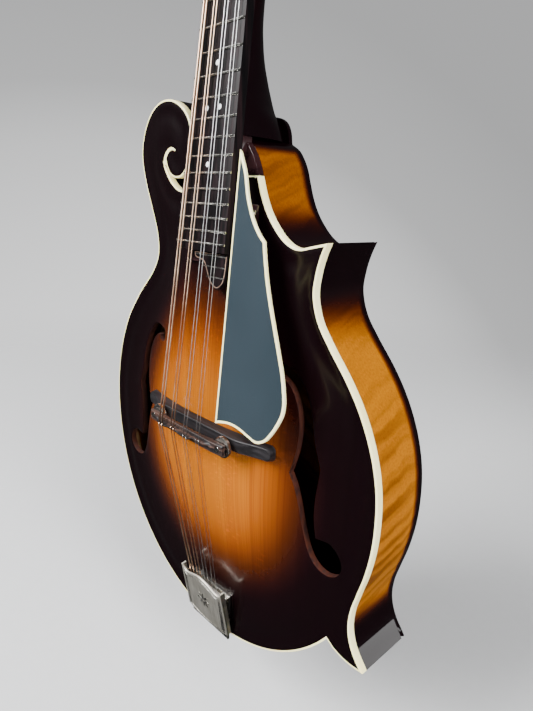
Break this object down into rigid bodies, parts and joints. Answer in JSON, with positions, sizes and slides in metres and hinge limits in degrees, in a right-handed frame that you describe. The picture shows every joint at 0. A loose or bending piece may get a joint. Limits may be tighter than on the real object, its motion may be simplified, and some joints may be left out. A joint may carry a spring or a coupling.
{
  "type": "mandolin",
  "caption": "Scroll-bodied mandolin with carved arched top, f-shaped sound holes, floating pickguard, adjustable bridge, sliding tailpiece cover and geared tuners.",
  "frame": {"origin": "centre of the strap button's flat end, on the body's centreline", "axes": "+X to the treble side, -Y out of the front of the top, +Z from the tail up the neck"},
  "size_m": [0.2473, 0.1195, 0.6774],
  "materials": {
    "spruce": "gloss sunburst lacquer",
    "maple": "gloss lacquer over flamed maple",
    "inner_wood": "bare",
    "ebony": "satin",
    "saddle_wood": "satin",
    "dark_lacquer": "gloss lacquer",
    "cream": "gloss binding",
    "bone": "polished bone",
    "guard_black": "gloss",
    "nickel": "brushed nickel",
    "steel": "plain",
    "bronze": "wound",
    "pearloid": "pearly"
  },
  "bodies": {
    "root": {"soundboard": "spruce", "back_plate": "maple", "rim": "maple", "top_binding": "cream", "bass_tone_bar": "inner_wood", "treble_tone_bar": "inner_wood", "head_block": "inner_wood", "tail_block": "inner_wood", "upper_point_block": "inner_wood", "lower_point_block": "inner_wood", "top_lining": "inner_wood", "back_lining": "inner_wood", "neck": "maple", "truss_rod": "steel", "truss_rod_cover": "ebony", "headstock_overlay": "ebony", "fingerboard": "ebony", "extension_block": "dark_lacquer", "nut": "bone", "bridge_base": "ebony", "bass_bridge_post": "nickel", "treble_bridge_post": "nickel", "pickguard": "guard_black", "pickguard_binding": "cream", "pickguard_bracket": "dark_lacquer", "tailpiece_base": "nickel", "strap_button": "ebony", "string_g1": "bronze", "string_g2": "bronze", "string_d1": "bronze", "string_d2": "bronze", "string_a1": "steel", "string_a2": "steel", "string_e1": "steel", "string_e2": "steel", "bass_tuner_plate": "nickel", "treble_tuner_plate": "nickel"},
    "saddle": {"bridge_saddle": "saddle_wood"},
    "bass_wheel": {"bass_thumbwheel": "nickel"},
    "treble_wheel": {"treble_thumbwheel": "nickel"},
    "cover": {"tailpiece_cover": "nickel"},
    "rod_nut": {"truss_rod_nut": "steel"},
    "shaft_g1": {"tuner_shaft_g1": "pearloid"},
    "post_g1": {"tuner_post_g1": "nickel"},
    "shaft_g2": {"tuner_shaft_g2": "pearloid"},
    "post_g2": {"tuner_post_g2": "nickel"},
    "shaft_d1": {"tuner_shaft_d1": "pearloid"},
    "post_d1": {"tuner_post_d1": "nickel"},
    "shaft_d2": {"tuner_shaft_d2": "pearloid"},
    "post_d2": {"tuner_post_d2": "nickel"},
    "shaft_a1": {"tuner_shaft_a1": "pearloid"},
    "post_a1": {"tuner_post_a1": "nickel"},
    "shaft_a2": {"tuner_shaft_a2": "pearloid"},
    "post_a2": {"tuner_post_a2": "nickel"},
    "shaft_e1": {"tuner_shaft_e1": "pearloid"},
    "post_e1": {"tuner_post_e1": "nickel"},
    "shaft_e2": {"tuner_shaft_e2": "pearloid"},
    "post_e2": {"tuner_post_e2": "nickel"}
  },
  "joints": [
    {"name": "saddle_height", "type": "slide", "parent": "root", "child": "saddle", "axis": [0, -1, 0], "range_m": [-0.0015, 0.0015], "deforming": ["string_g1", "string_g2", "string_d1", "string_d2", "string_a1", "string_a2", "string_e1", "string_e2"]},
    {"name": "bass_thumbwheel_turn", "type": "hinge", "parent": "saddle", "child": "bass_wheel", "pos_m": [-0.032, -0.0413, 0.1652], "axis": [0, -1, 0], "range_deg": [-680.2, 680.2]},
    {"name": "treble_thumbwheel_turn", "type": "hinge", "parent": "saddle", "child": "treble_wheel", "pos_m": [0.032, -0.0413, 0.1652], "axis": [0, -1, 0], "range_deg": [-680.2, 680.2]},
    {"name": "cover_slide", "type": "slide", "parent": "root", "child": "cover", "axis": [0, 0, -1], "range_m": [0, 0.035]},
    {"name": "truss_rod_nut_turn", "type": "hinge", "parent": "root", "child": "rod_nut", "pos_m": [0, 0.00313, 0.51985], "axis": [0, 0.1132, 0.9936], "range_deg": [-180, 180]},
    {"name": "tuner_g1_turn", "type": "hinge", "parent": "root", "child": "shaft_g1", "pos_m": [-0.03, 0.02075, 0.53227], "axis": [1, 0, 0], "continuous": true},
    {"name": "post_g1_turn", "type": "hinge", "parent": "root", "child": "post_g1", "pos_m": [-0.0155, 0.00581, 0.54629], "axis": [0, -0.9367, 0.3502], "continuous": true},
    {"name": "tuner_g2_turn", "type": "hinge", "parent": "root", "child": "shaft_g2", "pos_m": [-0.03, 0.0288, 0.55381], "axis": [1, 0, 0], "continuous": true},
    {"name": "post_g2_turn", "type": "hinge", "parent": "root", "child": "post_g2", "pos_m": [-0.0155, 0.01386, 0.56783], "axis": [0, -0.9367, 0.3502], "continuous": true},
    {"name": "tuner_d1_turn", "type": "hinge", "parent": "root", "child": "shaft_d1", "pos_m": [-0.03, 0.03685, 0.57536], "axis": [1, 0, 0], "continuous": true},
    {"name": "post_d1_turn", "type": "hinge", "parent": "root", "child": "post_d1", "pos_m": [-0.0155, 0.02192, 0.58937], "axis": [0, -0.9367, 0.3502], "continuous": true},
    {"name": "tuner_d2_turn", "type": "hinge", "parent": "root", "child": "shaft_d2", "pos_m": [-0.03, 0.04491, 0.5969], "axis": [1, 0, 0], "continuous": true},
    {"name": "post_d2_turn", "type": "hinge", "parent": "root", "child": "post_d2", "pos_m": [-0.0155, 0.02997, 0.61092], "axis": [0, -0.9367, 0.3502], "continuous": true},
    {"name": "tuner_a1_turn", "type": "hinge", "parent": "root", "child": "shaft_a1", "pos_m": [0.03, 0.04491, 0.5969], "axis": [1, 0, 0], "continuous": true},
    {"name": "post_a1_turn", "type": "hinge", "parent": "root", "child": "post_a1", "pos_m": [0.0155, 0.02997, 0.61092], "axis": [0, -0.9367, 0.3502], "continuous": true},
    {"name": "tuner_a2_turn", "type": "hinge", "parent": "root", "child": "shaft_a2", "pos_m": [0.03, 0.03685, 0.57536], "axis": [1, 0, 0], "continuous": true},
    {"name": "post_a2_turn", "type": "hinge", "parent": "root", "child": "post_a2", "pos_m": [0.0155, 0.02192, 0.58937], "axis": [0, -0.9367, 0.3502], "continuous": true},
    {"name": "tuner_e1_turn", "type": "hinge", "parent": "root", "child": "shaft_e1", "pos_m": [0.03, 0.0288, 0.55381], "axis": [1, 0, 0], "continuous": true},
    {"name": "post_e1_turn", "type": "hinge", "parent": "root", "child": "post_e1", "pos_m": [0.0155, 0.01386, 0.56783], "axis": [0, -0.9367, 0.3502], "continuous": true},
    {"name": "tuner_e2_turn", "type": "hinge", "parent": "root", "child": "shaft_e2", "pos_m": [0.03, 0.02075, 0.53227], "axis": [1, 0, 0], "continuous": true},
    {"name": "post_e2_turn", "type": "hinge", "parent": "root", "child": "post_e2", "pos_m": [0.0155, 0.00581, 0.54629], "axis": [0, -0.9367, 0.3502], "continuous": true}
  ],
  "couplings": [
    {"joint": "bass_thumbwheel_turn", "follows": "saddle_height", "rad_per_m": 7913.3},
    {"joint": "treble_thumbwheel_turn", "follows": "saddle_height", "rad_per_m": 7913.3},
    {"joint": "post_g1_turn", "follows": "tuner_g1_turn", "ratio": -0.071429},
    {"joint": "post_g2_turn", "follows": "tuner_g2_turn", "ratio": -0.071429},
    {"joint": "post_d1_turn", "follows": "tuner_d1_turn", "ratio": -0.071429},
    {"joint": "post_d2_turn", "follows": "tuner_d2_turn", "ratio": -0.071429},
    {"joint": "post_a1_turn", "follows": "tuner_a1_turn", "ratio": -0.071429},
    {"joint": "post_a2_turn", "follows": "tuner_a2_turn", "ratio": -0.071429},
    {"joint": "post_e1_turn", "follows": "tuner_e1_turn", "ratio": -0.071429},
    {"joint": "post_e2_turn", "follows": "tuner_e2_turn", "ratio": -0.071429}
  ]
}
